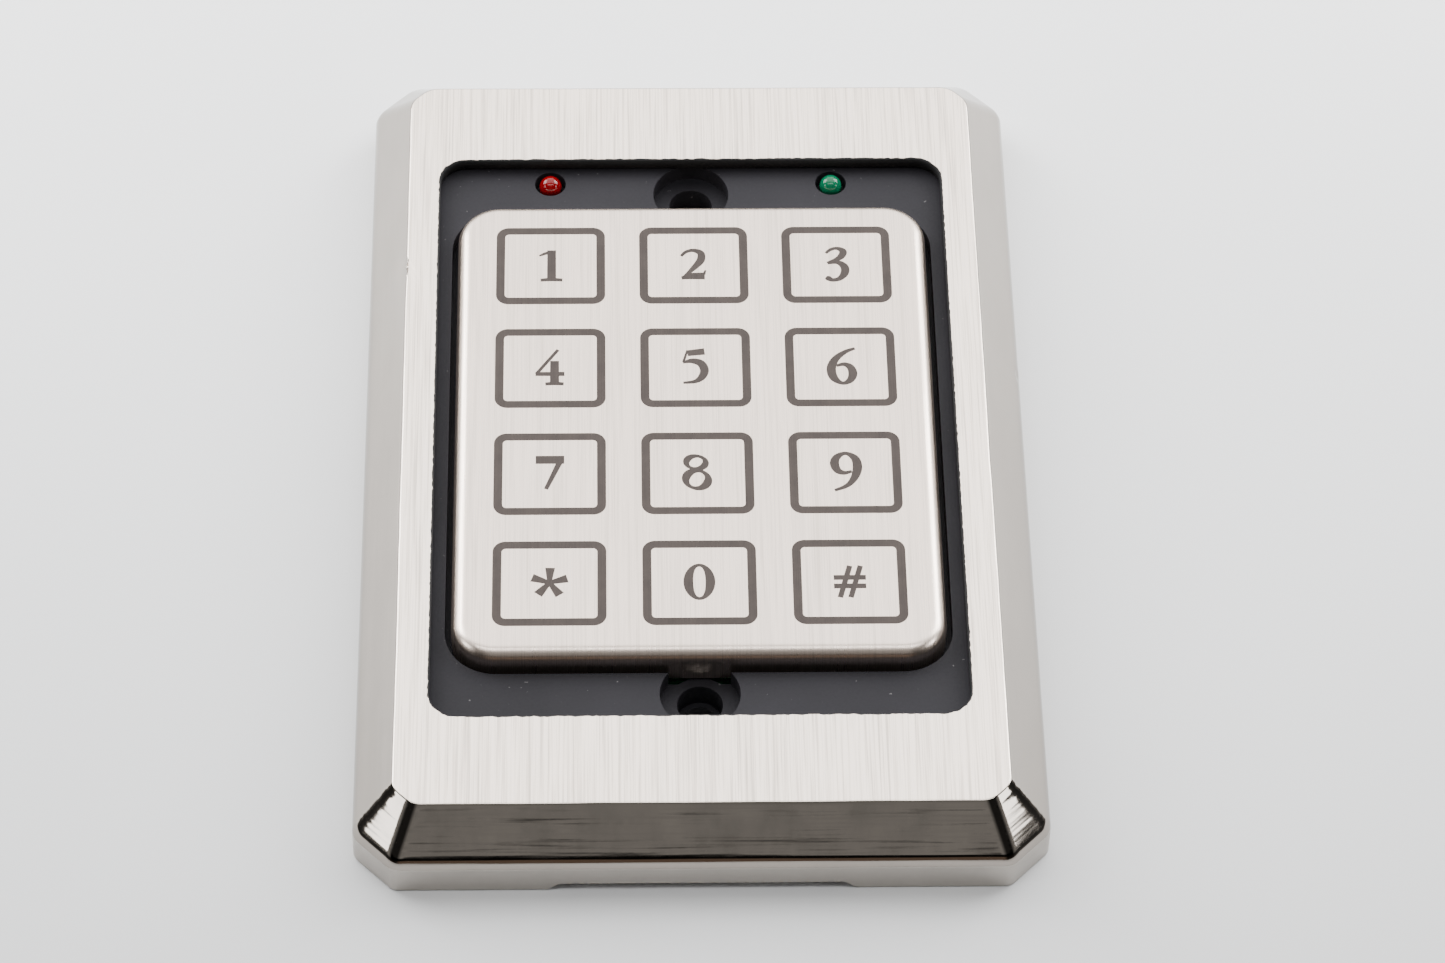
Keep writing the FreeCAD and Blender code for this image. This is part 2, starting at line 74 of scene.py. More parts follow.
WALL_H = 5.4
BEVEL_RUN_X, BEVEL_RUN_Y = 5.2, 5.4
RIM_LAND, FACE_RING = 3.0, 7.0      # insets of the rear rim's inner edge and of the first ring on the face
RIM_BENDS = [0.35, 2.8, 0.45]       # at the rim, between wall and bevel, between bevel and face
CAVITY = (40.3, 61.8, 4.0)          # half width, half length and corner cut inside the walls
CAVITY_TOP = (36.3, 57.6, 1.6)      # the same under the face
CAVITY_SHOULDER_Z = 4.6
RELIEF_HALF, RELIEF_H, RELIEF_RAMP = 17.5 * MM, 1.4 * MM, 2.0 * MM
RELIEF_REACH_Z = 2.2                # rings below this height are lifted over the shallow gap
WINDOW_X, WINDOW_Y, WINDOW_R = 33.85 * MM, 46.15 * MM, 3.5 * MM
BOSS_X, BOSS_Y, BOSS_R, BOSS_HOLE_R, BOSS_LOW = 30.0, 53.2, 3.2, 1.25, 5.0
OUTLINE_STEPS = (140, 200, 12)      # points along each end, each side and each bend of the surround

KEY_HALF_X, KEY_HALF_Y, KEY_LINE = 7.24, 6.68, 1.15
KEY_R, KEY_INNER_R = 1.65, 0.55
KEY_FRAME_SHIFT = 0.135 * MM        # the key frames sit slightly to the right of their signs

CAMERA_AZIMUTH, CAMERA_ELEVATION, CAMERA_ROLL = -2.076, 51.89, 1.314
CAMERA_TARGET, CAMERA_DISTANCE = Vector((3.67, -0.67, 0)) * MM, 0.64716
CAMERA_LENS, CAMERA_SENSOR = 122.2, 36.0
FLOOR_HALF = 3.0


# ---------------------------------------------------------------- camera, floor and light

def look_axes(azimuth, elevation, roll):
    """Camera axes (right, up, back) for a view from the front of the keypad's lower end."""
    back = Vector((math.sin(azimuth) * math.cos(elevation), -math.cos(azimuth) * math.cos(elevation),
                   math.sin(elevation)))
    right = Vector((0, 0, 1)).cross(back).normalized()
    up = back.cross(right)
    turned_right = math.cos(roll) * right + math.sin(roll) * up
    turned_up = math.cos(roll) * up - math.sin(roll) * right
    return turned_right, turned_up, back


def make_camera():
    angles = (CAMERA_AZIMUTH, CAMERA_ELEVATION, CAMERA_ROLL)
    right, up, back = look_axes(*(math.radians(angle) for angle in angles))
    data = bpy.data.cameras.new("photo_camera")
    data.sensor_width = CAMERA_SENSOR
    data.lens = CAMERA_LENS
    data.clip_start = 0.01
    camera = bpy.data.objects.new("photo_camera", data)
    bpy.context.scene.collection.objects.link(camera)
    turn = Matrix((right, up, back)).transposed().to_4x4()
    camera.matrix_world = Matrix.Translation(CAMERA_TARGET + back * CAMERA_DISTANCE) @ turn
    bpy.context.scene.camera = camera


class Nodes:
    """Short way to write a material's node tree."""

    def __init__(self, tree):
        self.tree = tree
        tree.nodes.clear()

    def add(self, kind, **inputs):
        node = self.tree.nodes.new("ShaderNode" + kind)
        for key, value in inputs.items():
            self.put(node, key.replace("_", " "), value)
        return node

    def put(self, node, key, value):
        socket = node.inputs[int(key)] if key.isdigit() else node.inputs[key]
        if isinstance(value, bpy.types.NodeSocket):
            self.tree.links.new(value, socket)
        else:
            socket.default_value = value

    def math(self, operation, a, b=0.0, clamp=False):
        node = self.tree.nodes.new("ShaderNodeMath")
        node.operation = operation
        node.use_clamp = clamp
        for socket, value in zip(node.inputs, (a, b)):
            if isinstance(value, bpy.types.NodeSocket):
                self.tree.links.new(value, socket)
            else:
                socket.default_value = value
        return node.outputs[0]

    def ramp(self, value, stops, smooth=False):
        node = self.tree.nodes.new("ShaderNodeValToRGB")
        band = node.color_ramp
        band.interpolation = "EASE" if smooth else "LINEAR"
        while len(band.elements) < len(stops):
            band.elements.new(0.5)
        for element, (place, colour) in zip(band.elements, stops):
            element.position = place
            element.color = colour if isinstance(colour, tuple) else (colour, colour, colour, 1)
        self.tree.links.new(value, node.inputs[0])
        return node.outputs[0]

    def mix(self, factor, a, b, blend="MIX"):
        node = self.tree.nodes.new("ShaderNodeMix")
        node.data_type = "RGBA"
        node.blend_type = blend
        for index, value in ((0, factor), (6, a), (7, b)):
            if isinstance(value, bpy.types.NodeSocket):
                self.tree.links.new(value, node.inputs[index])
            else:
                node.inputs[index].default_value = value
        return node.outputs[2]

    def noise(self, scale_xyz, detail=2.0, rough=0.5, shift=0.0):
        """Noise over the object's own coordinates, with cells per metre along each axis."""
        place = self.add("TexCoord").outputs["Object"]
        mapping = self.add("Mapping", Vector=place, Scale=scale_xyz, Location=(shift, shift, shift))
        texture = self.add("TexNoise", Vector=mapping.outputs[0], Scale=1.0, Detail=detail, Roughness=rough)
        return texture.outputs["Fac"]

    def bump(self, height, distance, strength=1.0, normal=None):
        node = self.add("Bump", Strength=strength, Distance=distance, Height=height)
        if normal is not None:
            self.put(node, "Normal", normal)
        return node.outputs[0]


def new_material(name):
    material = bpy.data.materials.new(name)
    material.use_nodes = True
    return material, Nodes(material.node_tree)


def finish_surface(nodes, **inputs):
    shader = nodes.add("BsdfPrincipled")
    for key, value in inputs.items():
        nodes.put(shader, key.replace("_", " "), value)
    output = nodes.add("OutputMaterial")
    nodes.tree.links.new(shader.outputs[0], output.inputs[0])


def make_floor():
    """Pale paper, with shade painted into its colour: darker towards the camera."""
    mesh = bpy.data.meshes.new("floor")
    half = FLOOR_HALF
    corners = [(-half, -half, 0), (half, -half, 0), (half, half, 0), (-half, half, 0)]
    mesh.from_pydata(corners, [], [(0, 1, 2, 3)])
    floor = bpy.data.objects.new("floor", mesh)
    bpy.context.scene.collection.objects.link(floor)
    material, n = new_material("floor_paper")
    tone = n.ramp(n.noise((9, 9, 9), 3), [(0.3, (0.90, 0.91, 0.92, 1)), (0.7, (0.94, 0.95, 0.96, 1))])
    depth = n.add("SeparateXYZ", Vector=n.add("TexCoord").outputs["Object"]).outputs["Y"]
    # Painted shade: the paper's colour darkens towards the camera, standing in for light that falls off
    # there.
    fade_start, fade_length = -0.16, 0.25
    share = n.math("MULTIPLY", n.math("ADD", depth, -fade_start), 1 / fade_length)
    painted_shade = n.ramp(share, [(0.0, 0.42), (1.0, 1.0)])
    tone = n.mix(1.0, tone, painted_shade, "MULTIPLY")
    finish_surface(n, Base_Color=tone, Roughness=0.7)
    mesh.materials.append(material)


def make_world():
    """Studio room: bright overhead and to the sides, with a dark band above the floor. Towards the camera
    there are, from the floor up, a tan, a black and a grey band."""
    world = bpy.data.worlds.new("studio")
    bpy.context.scene.world = world
    world.use_nodes = True
    n = Nodes(world.node_tree)
    direction = n.add("TexCoord").outputs["Generated"]
    split = n.add("SeparateXYZ", Vector=direction)
    height = split.outputs["Z"]
    across = n.math("ABSOLUTE", split.outputs["X"])
    toward = n.math("MULTIPLY", split.outputs["Y"], -1.0)
    room = n.ramp(height, [(0.0, 0.45), (0.05, 0.45), (0.1, 0.08), (0.26, 0.10), (0.36, 0.9), (1.0, 1.0)])
    tan = (0.46, 0.33, 0.25, 1)
    bands = n.ramp(height, [(0.0, tan), (0.22, tan), (0.27, 0.01), (0.44, 0.015), (0.475, 0.90),
                            (0.56, 0.74), (0.66, 0.36), (0.86, 1.0)])
    front_low = n.mix(1.0, bands, n.ramp(across, [(0.26, 1.0), (0.44, 0.08)]), "MULTIPLY")
    side_fade = n.ramp(across, [(0.72, 1.0), (0.83, 0.0)])
    front = n.math("MULTIPLY", n.ramp(toward, [(0.02, 0.0), (0.2, 1.0)]), side_fade)
    tone = n.mix(front, room, front_low)
    warm = n.mix(1.0, tone, (1.0, 0.985, 0.965, 1), "MULTIPLY")
    background = n.add("Background", Color=warm, Strength=0.5)
    output = n.add("OutputWorld")
    n.tree.links.new(background.outputs[0], output.inputs[0])


def area_light(name, place, size, power, colour=(1, 1, 1)):
    data = bpy.data.lights.new(name, "AREA")
    data.shape = "RECTANGLE"
    data.size, data.size_y = size
    data.energy = power
    data.color = colour
    light = bpy.data.objects.new(name, data)
    light.location = place
    light.rotation_euler = (Vector((0, 0, 0)) - Vector(place)).to_track_quat("-Z", "Y").to_euler()
    bpy.context.scene.collection.objects.link(light)


def make_lights():
    area_light("back_softbox", (0.0, 0.50, 0.52), (1.6, 1.1), 18.0)
    area_light("top_strip", (0.0, -0.18, 0.75), (0.9, 0.16), 2.6)
    for side in SIDES:
        name = "right" if side > 0 else "left"
        area_light("side_softbox_" + name, (side * 0.62, 0.42, 0.46), (0.5, 0.45), 8.5)
        area_light("corner_softbox_" + name, (side * 0.74, -0.20, 0.37), (0.24, 0.22), 1.3)


# ---------------------------------------------------------------- mesh helpers

def arc(centre, radius, start, end, steps):
    """Points of an arc; angles in radians."""
    angles = [start + (end - start) * i / steps for i in range(steps + 1)]
    return [centre + radius * Vector((math.cos(angle), math.sin(angle))) for angle in angles]


def rounded_path(points, radii, steps=4):
    """Open polyline in 2D with an arc at each inner corner."""
    path = [Vector(points[0])]
    for before, corner, after, radius in zip(points, points[1:], points[2:], radii):
        a = (Vector(before) - Vector(corner)).normalized()
        b = (Vector(after) - Vector(corner)).normalized()
        half = a.angle(b) / 2
        reach = radius / math.tan(half)
        centre = Vector(corner) + (a + b).normalized() * radius / math.sin(half)
        first = Vector(corner) + a * reach - centre
        last = Vector(corner) + b * reach - centre
        turn = first.angle_signed(last)
        for i in range(steps + 1):
            path.append(centre + Matrix.Rotation(-turn * i / steps, 2) @ first)
    path.append(Vector(points[-1]))
    return path


def outline(half_x, half_y, cut, soft, nx, ny, nc):
    """Closed plan outline: a rectangle whose corners are cut at 45 degrees, or round where cut is 0."""
    points = []
    starts = {(1, -1): -90, (1, 1): 0, (-1, 1): 90, (-1, -1): 180}
    corners = [(1, -1), (1, 1), (-1, 1), (-1, -1)]
    bends = []
    for sx, sy in corners:
        start = math.radians(starts[(sx, sy)])
        if cut <= 0:
            centre = Vector((sx * (half_x - soft), sy * (half_y - soft)))
            bend = arc(centre, soft, start, start + math.pi / 2, 2 * nc + 1)
        else:
            reach = soft * math.tan(math.pi / 8)
            one = Vector((sx * (half_x - cut), sy * half_y))
            two = Vector((sx * half_x, sy * (half_y - cut)))
            if sx * sy > 0:
                one, two = two, one
            along = (two - one).normalized()
            mid_angle = start + math.pi / 4
            first_centre = one + along * reach - soft * Vector((math.cos(mid_angle), math.sin(mid_angle)))
            last_centre = two - along * reach - soft * Vector((math.cos(mid_angle), math.sin(mid_angle)))
            bend = arc(first_centre, soft, start, mid_angle, nc) + arc(last_centre, soft, mid_angle,
                                                                       start + math.pi / 2, nc)
        bends.append(bend)
    for index, bend in enumerate(bends):
        points += bend
        following = bends[(index + 1) % 4][0]
        count = ny if index % 2 == 0 else nx
        points += [bend[-1].lerp(following, i / count) for i in range(1, count)]
    return points


def loft(name, rings, closed_profile=False, cap_start=False, cap_end=False, slots=None):
    """Mesh through rings of equal length. slots gives a material index for each band."""
    bm = bmesh.new()
    loops = [[bm.verts.new(p) for p in ring] for ring in rings]
    pairs = list(zip(loops, loops[1:]))
    if closed_profile:
        pairs.append((loops[-1], loops[0]))
    for band, (low, high) in enumerate(pairs):
        for i in range(len(low)):
            j = (i + 1) % len(low)
            face = bm.faces.new((low[i], low[j], high[j], high[i]))
            face.smooth = True
            if slots:
                face.material_index = slots[band]
    if cap_start:
        bm.faces.new(loops[0][::-1])
    if cap_end:
        bm.faces.new(loops[-1])
    bmesh.ops.recalc_face_normals(bm, faces=bm.faces)
    return mesh_object(name, bm)


def mesh_object(name, bm):
    mesh = bpy.data.meshes.new(name)
    bm.to_mesh(mesh)
    bm.free()
    piece = bpy.data.objects.new(name, mesh)
    bpy.context.scene.collection.objects.link(piece)
    return piece


def give(piece, *materials):
    """Set a piece's materials and keep each face's slot, which clearing the old list would reset."""
    slots = [min(face.material_index, len(materials) - 1) for face in piece.data.polygons]
    piece.data.materials.clear()
    for material in materials:
        piece.data.materials.append(material)
    piece.data.polygons.foreach_set("material_index", slots)


# ---------------------------------------------------------------- materials

def brushed_metal(name, colour, grain_across=5200, rough=(0.26, 0.40), depth=0.4):
    """Steel brushed along Y: long fine scratches in colour, gloss and height."""
    material, n = new_material(name)
    fine = n.noise((grain_across, 60, 60), 3, 0.6)
    broad = n.noise((2500, 30, 30), 3, 0.65, 7.0)
    cloud = n.noise((35, 25, 30), 2, 0.5, 3.0)
    streak = n.math("ADD", n.math("MULTIPLY", fine, 0.6), n.math("MULTIPLY", broad, 0.4))
    low = tuple(c * (1 - depth) for c in colour) + (1,)
    high = tuple(min(1, c) for c in colour) + (1,)
    tone = n.ramp(streak, [(0.36, low), (0.54, high)])
    tone = n.mix(n.math("MULTIPLY", cloud, 0.12), tone, (0.70, 0.66, 0.63, 1))
    gloss = n.ramp(streak, [(0.3, rough[1]), (0.7, rough[0])])
    finish_surface(n, Base_Color=tone, Metallic=1.0, Roughness=gloss,
                   Normal=n.bump(streak, 0.00002, 0.55))
    return material


def polished_metal(name, colour, rough=(0.05, 0.13), ripple=0.00008):
    """Hand-polished casting: mirror finish over faint ripples, with smudges that dull it."""
    material, n = new_material(name)
    wave = n.noise((16, 16, 420), 3, 0.55, 2.0)
    smudge = n.noise((120, 55, 90), 4, 0.65, 11.0)
    scratch = n.noise((900, 900, 2500), 2, 0.6, 5.0)
    tone = n.ramp(smudge, [(0.35, tuple(c * 0.93 for c in colour) + (1,)), (0.65, colour + (1,))])
    gloss = n.ramp(smudge, [(0.35, rough[1]), (0.6, rough[0])])
    normal = n.bump(wave, ripple, 1.0)
    finish_surface(n, Base_Color=tone, Metallic=1.0, Roughness=gloss,
                   Normal=n.bump(scratch, 0.000004, 0.4, normal))
    return material


def cast_metal(name, colour):
    """Unpolished inside of the casting."""
    material, n = new_material(name)
    pits = n.noise((900, 900, 900), 4, 0.6)
    tone = n.ramp(pits, [(0.3, tuple(c * 0.75 for c in colour) + (1,)), (0.7, colour + (1,))])
    finish_surface(n, Base_Color=tone, Metallic=1.0, Roughness=n.ramp(pits, [(0.3, 0.6), (0.7, 0.42)]),
                   Normal=n.bump(pits, 0.00008, 0.6))
    return material


def etched_grey(name):
    """Etched key legends: brown-grey with the sheet's grain showing through."""
    material, n = new_material(name)
    fine = n.noise((9000, 60, 60), 3, 0.6)
    cloud = n.noise((400, 400, 400), 3, 0.6)
    both = n.math("ADD", n.math("MULTIPLY", fine, 0.5), n.math("MULTIPLY", cloud, 0.5))
    tone = n.ramp(both, [(0.35, (0.034, 0.026, 0.023, 1)), (0.65, (0.050, 0.039, 0.034, 1))])
    finish_surface(n, Base_Color=tone, Roughness=0.6, Specular_IOR_Level=0.2,
                   Normal=n.bump(both, 0.00001, 0.4))
    return material


def matt_plastic(name, colour, dust=0.0, rough=0.55, grain=2500, gloss=0.5):
    """Moulded plastic with a fine grain, and pale dust specks where it is exposed."""
    material, n = new_material(name)
    fine = n.noise((grain, grain, grain), 3, 0.6)
    cloud = n.noise((60, 60, 60), 2, 0.5, 4.0)
    tone = n.ramp(cloud, [(0.3, tuple(c * 0.86 for c in colour) + (1,)),
                          (0.7, tuple(min(1, c * 1.12) for c in colour) + (1,))])
    if dust:
        specks = n.ramp(n.noise((1400, 1400, 1400), 2, 0.5, 9.0), [(0.73, 0.0), (0.79, dust)])
        tone = n.mix(specks, tone, (0.35, 0.34, 0.34, 1))
    spread = n.ramp(fine, [(0.3, rough + 0.08), (0.7, rough - 0.08)])
    finish_surface(n, Base_Color=tone, Roughness=spread, Specular_IOR_Level=gloss,
                   Normal=n.bump(fine, 0.00002, 0.5))
    return material


def circuit_board(name):
    """Green solder mask with darker tracks showing under it."""
    material, n = new_material(name)
    place = n.add("TexCoord").outputs["Object"]
    brick = n.add("TexBrick", Vector=place, Scale=220.0, Mortar_Size=0.03)
    tracks = n.ramp(brick.outputs["Fac"], [(0.4, (0.02, 0.16, 0.06, 1)), (0.6, (0.05, 0.27, 0.11, 1))])
    cloud = n.noise((300, 300, 300), 3)
    tone = n.mix(n.math("MULTIPLY", cloud, 0.4), tracks, (0.03, 0.2, 0.08, 1))
    finish_surface(n, Base_Color=tone, Roughness=n.ramp(cloud, [(0.3, 0.25), (0.7, 0.4)]),
                   Coat_Weight=0.3, Normal=n.bump(brick.outputs["Fac"], 0.00003, 0.5))
    return material


def tinted_lens(name, colour):
    """Coloured epoxy of an indicator lamp, a little cloudy."""
    material, n = new_material(name)
    cloud = n.noise((1500, 1500, 1500), 2)
    tone = n.ramp(cloud, [(0.3, tuple(c * 0.8 for c in colour) + (1,)), (0.7, colour + (1,))])
    finish_surface(n, Base_Color=tone, Roughness=0.08, Transmission_Weight=0.15, IOR=1.5,
                   Specular_IOR_Level=0.3)
    return material


def plated(name, colour, rough=0.3):
    """Thin metal plating, slightly uneven."""
    material, n = new_material(name)
    cloud = n.noise((900, 900, 900), 3)
    tone = n.ramp(cloud, [(0.3, tuple(c * 0.85 for c in colour) + (1,)), (0.7, colour + (1,))])
    gloss = n.ramp(cloud, [(0.3, rough + 0.1), (0.7, rough)])
    finish_surface(n, Base_Color=tone, Metallic=1.0, Roughness=gloss, Normal=n.bump(cloud, 0.00001, 0.4))
    return material


BRUSHED = brushed_metal("brushed_face", (0.90, 0.79, 0.69), depth=0.42)
KEYPAD = brushed_metal("brushed_keypad", (0.72, 0.615, 0.535), 6500, (0.24, 0.38), 0.25)
POLISHED = polished_metal("polished_bevel", (0.34, 0.308, 0.275))
SATIN = polished_metal("satin_wall", (0.44, 0.41, 0.375), rough=(0.28, 0.42), ripple=0.00002)
CAST = cast_metal("cast_inside", (0.42, 0.41, 0.40))
LEGEND = etched_grey("etched_legend")
# Near-black matt on the window's inner walls, much darker than the bare casting around them.
WINDOW_EDGE = matt_plastic("near_black_window_wall", (0.02, 0.02, 0.021), rough=0.75, grain=900, gloss=0.15)
BLACK = matt_plastic("black_moulding", (0.0155, 0.0148, 0.0178), dust=0.25, gloss=0.12)
RUBBER = matt_plastic("soft_rubber", (0.03, 0.03, 0.032), rough=0.75, grain=1200)
FOAM = matt_plastic("closed_foam", (0.06, 0.06, 0.065), rough=0.85, grain=1600)
SHEET = matt_plastic("adhesive_sheet", (0.80, 0.77, 0.66), rough=0.6)
NYLON = matt_plastic("white_nylon", (0.80, 0.79, 0.74), rough=0.4)
PACKAGE = matt_plastic("chip_package", (0.03, 0.03, 0.032), rough=0.5)
ACETAL = matt_plastic("red_acetal", (0.55, 0.06, 0.04), rough=0.3)
BOARD = circuit_board("solder_mask")
BRASS = plated("disc_brass", (0.80, 0.60, 0.28))
GOLD = plated("gold_plate", (0.90, 0.68, 0.30), 0.2)
TIN = plated("tinned_can", (0.78, 0.78, 0.76), 0.25)
ZINC = plated("zinc_plate", (0.70, 0.71, 0.70), 0.28)
RED = tinted_lens("red_lens", (0.19, 0.0, 0.002))
GREEN = tinted_lens("green_lens", (0.002, 0.125, 0.055))

NODE_FINISH = {
    "window_gasket": RUBBER, "fascia_housing": BLACK, "cap_seal": FOAM, "cap_retainer": BLACK,
    "piezo_discs": BRASS, "disc_spacer": SHEET, "contact_pads": GOLD, "sensor_board": BOARD,
    "interboard_header": PACKAGE, "interboard_pins": GOLD, "main_circuit_board": BOARD, "crystal": TIN,
    "capacitors": TIN, "voltage_regulator": PACKAGE, "buzzer": PACKAGE, "led_sleeves": BLACK,
    "wiring_header": NYLON, "header_pins": GOLD, "tamper_switch_body": PACKAGE, "tamper_plunger": ACETAL,
    "tamper_spring": ZINC, "cover_seal": RUBBER, "rear_cover": BLACK, "wall_gasket": FOAM,
    "housing_screws": ZINC, "board_screws": ZINC, "cover_screws": ZINC, "microcontroller": PACKAGE,
    "line_driver": PACKAGE, "red_led": RED, "green_led": GREEN,
}


# ---------------------------------------------------------------- cast surround

def rim_outline(inset, z):
    """Outline of the outer surface, inset mm in from the rim, slightly uneven from hand polishing."""
    share = min(1.0, max(0.0, inset / BEVEL_RUN_X))
    corner = 5.0 - 2.5 * share
    soft = 1.8 + 1.4 * min(1.0, z / WALL_H) ** 2 - 0.2 * share
    half_y = RIM_Y - inset * MM * BEVEL_RUN_Y / BEVEL_RUN_X
    plan = outline(RIM_X - inset * MM, half_y, corner * MM, soft * MM, *OUTLINE_STEPS)
    unevenness = 0.07 * MM * share
    ring = []
    for p in plan:
        broad = noise.noise(Vector((p.x, p.y, 0)) * 90.0)
        drift = broad + 0.5 * noise.noise(Vector((p.x, p.y, 0.3)) * 260.0)
        inward = Vector((p.x / RIM_X, p.y / RIM_Y)) * unevenness * drift
        ring.append(Vector((p.x - inward.x, p.y - inward.y, z * MM)))
    return ring


def window_outline(grow, z):
    """Outline of the window, grow mm larger, with burrs where it meets the face."""
    plan = outline(WINDOW_X + grow * MM, WINDOW_Y + grow * MM, 0, WINDOW_R + grow * MM, *OUTLINE_STEPS)
    ring = []
    for p in plan:
        burr = 1 + 0.5 * min(grow, 0.25) * noise.noise(Vector((p.x, p.y, 0)) * 1500.0) * MM / WINDOW_X
        ring.append(Vector((p.x * burr, p.y * burr, z * MM)))
    return ring


def inner_outline(half_x, half_y, cut, z):
    """Outline of the hollow behind the face."""
    plan = outline(half_x * MM, half_y * MM, cut * MM, 0.4 * MM, *OUTLINE_STEPS)
    return [Vector((p.x, p.y, z * MM)) for p in plan]


def relief(ring):
    """Lift the lower rim over the shallow gap at the bottom end."""
    for p in ring:
        if p.y < -RIM_Y + 4 * MM:
            share = min(1.0, max(0.0, (RELIEF_HALF + RELIEF_RAMP - abs(p.x)) / RELIEF_RAMP))
            p.z = max(p.z, RELIEF_H * share * share * (3 - 2 * share))
    return ring


# Knocks in the polished rim: x, y, z, radius and depth in mm.
KNOCKS = [(-41.1, -62.0, 2.6, 0.9, 0.25), (-40.8, -62.3, 1.5, 0.8, 0.22), (43.2, 12.6, 5.4, 1.0, 0.25),
          (-38.4, 27.6, 11.1, 2.4, 0.15)]


def knock(piece):
    """Press the small knocks into the surface."""
    mesh = piece.data
    for x, y, z, radius, depth in KNOCKS:
        centre = Vector((x, y, z)) * MM
        for vertex in mesh.vertices:
            near = 1 - ((vertex.co - centre).length / (radius * MM)) ** 2
            if near > 0:
                vertex.co -= vertex.normal * depth * MM * near * near


# Material slots of the surround, in the order of its materials.
POLISHED_SLOT, BRUSHED_SLOT, CAST_SLOT, WINDOW_SLOT, SATIN_SLOT = range(5)


def outer_slot(z):
    """Satin wall, polished bevel and brushed face."""
    if z > FACE_Z / MM - 0.03:
        return BRUSHED_SLOT
    return SATIN_SLOT if z < WALL_H - 0.9 else POLISHED_SLOT


def outer_profile():
    """Section of the outer surface as (inset, height), with extra points along its straight parts."""
    face = FACE_Z / MM
    corners = [(RIM_LAND, 0), (0, 0), (0, WALL_H), (BEVEL_RUN_X, face), (FACE_RING, face)]
    bends = rounded_path(corners, RIM_BENDS, 9)
    profile = []
    for point, following in zip(bends, bends[1:]):
        profile.append(point)
        if (following - point).length > 2.0:
            profile += [point.lerp(following, share) for share in (0.08, 0.36, 0.64, 0.92)]
    return profile


def make_casting():
    face, back = FACE_Z / MM, FACE_BACK_Z / MM
    profile = outer_profile()
    rings = [rim_outline(p.x, p.y) for p in profile]
    rings = [relief(ring) if p.y < RELIEF_REACH_Z else ring for ring, p in zip(rings, profile)]
    slots = [outer_slot((p.y + q.y) / 2) for p, q in zip(profile, profile[1:])]
    rings += [window_outline(0.7, face), window_outline(0.25, face), window_outline(0.07, face - 0.06),
              window_outline(0.0, face - 0.25), window_outline(0.0, back)]
    slots += [BRUSHED_SLOT] * 2 + [WINDOW_SLOT] * 3
    rings += [inner_outline(*CAVITY_TOP, back), inner_outline(*CAVITY, CAVITY_SHOULDER_Z)]
    slots += [CAST_SLOT] * 3
    rings[0] = relief(inner_outline(*CAVITY, 0.0))
    piece = loft("surround", rings, closed_profile=True, slots=slots)
    knock(piece)
    give(piece, POLISHED, BRUSHED, CAST, WINDOW_EDGE, SATIN)
    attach(piece, "reader")
    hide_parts("bezel_casting")


def circle(x, y, radius, z, steps=32):
    angles = [2 * math.pi * i / steps for i in range(steps)]
    return [Vector((x + radius * math.cos(a), y + radius * math.sin(a), z)) * MM for a in angles]


def make_bosses():
    """Four cast pillars behind the face that take the housing screws."""
    back = FACE_BACK_Z / MM
    for index, (sx, sy) in enumerate(CORNERS):
        x, y = sx * BOSS_X, sy * BOSS_Y
        steps = [(BOSS_HOLE_R, back - 0.4), (BOSS_HOLE_R, BOSS_LOW + 0.2), (BOSS_HOLE_R + 0.2, BOSS_LOW),
                 (BOSS_R - 0.2, BOSS_LOW), (BOSS_R, BOSS_LOW + 0.2), (BOSS_R, back - 0.4),
                 (BOSS_R + 0.4, back)]
        rings = [circle(x, y, radius, z) for radius, z in steps]
        piece = loft("surround_boss_%d" % (index + 1), rings, cap_start=True, cap_end=True)
        give(piece, CAST)
        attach(piece, "reader")


# ---------------------------------------------------------------- keypad

def cap_outline(inset, z):
    plan = outline(CAP_X - inset * MM, CAP_Y - inset * MM, 0, max(0.5, CAP_R - inset) * MM, 12, 14, 8)
    return [Vector((p.x, p.y + CAP_MID_Y, z * MM)) for p in plan]


def make_cap():
    """Drawn sheet: its inside surface, then its outside, each closed over the flat top."""
    top = CAP_TOP_Z / MM
    under = top - SHEET_T
    inside = rounded_path([(CAP_TOP_RING, under), (SHEET_T, under), (SHEET_T, SKIRT_LOW)],
                          [CAP_BEND - SHEET_T], 6)
    outside = rounded_path([(SHEET_T, SKIRT_LOW), (0, SKIRT_LOW), (0, top), (CAP_TOP_RING, top)],
                           [SKIRT_BEND, CAP_BEND], 12)
    rings = [cap_outline(p.x, p.y) for p in inside + outside]
    piece = loft("keypad_sheet", rings, cap_start=True, cap_end=True)
    give(piece, KEYPAD)
    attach(piece, "reader")
    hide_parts("keypad_cap")


SIGN_STEPS = 10
LEGEND_LIFT, LEGEND_DEPTH = 0.012 * MM, 0.03 * MM
KEY_ROWS = (("1", "2", "3"), ("4", "5", "6"), ("7", "8", "9"), ("star", "0", "hash"))


def pen(*points):
    """Smooth stroke through (x, y, width) points, in mm from the key's centre."""
    last = len(points) - 1
    line = []
    for i in range(last):
        a, b, c, d = (Vector(points[max(0, min(last, k))]) for k in (i - 1, i, i + 1, i + 2))
        for step in range(SIGN_STEPS):
            u = step / SIGN_STEPS
            line.append(0.5 * (2 * b + (c - a) * u + (2 * a - 5 * b + 4 * c - d) * u ** 2
                               + (3 * b - a - 3 * c + d) * u ** 3))
    return line + [Vector(points[last])], False


def ring(x, y, half_x, half_y, thin, thick, lean=0.0):
    """Closed oval stroke, thin at its top and bottom and thick at its sides. lean turns the thick parts."""
    line = []
    for i in range(4 * SIGN_STEPS):
        angle = 2 * math.pi * i / (4 * SIGN_STEPS)
        width = thin + (thick - thin) * math.cos(angle - lean) ** 2
        line.append(Vector((x + half_x * math.cos(angle), y + half_y * math.sin(angle), width)))
    return line, True


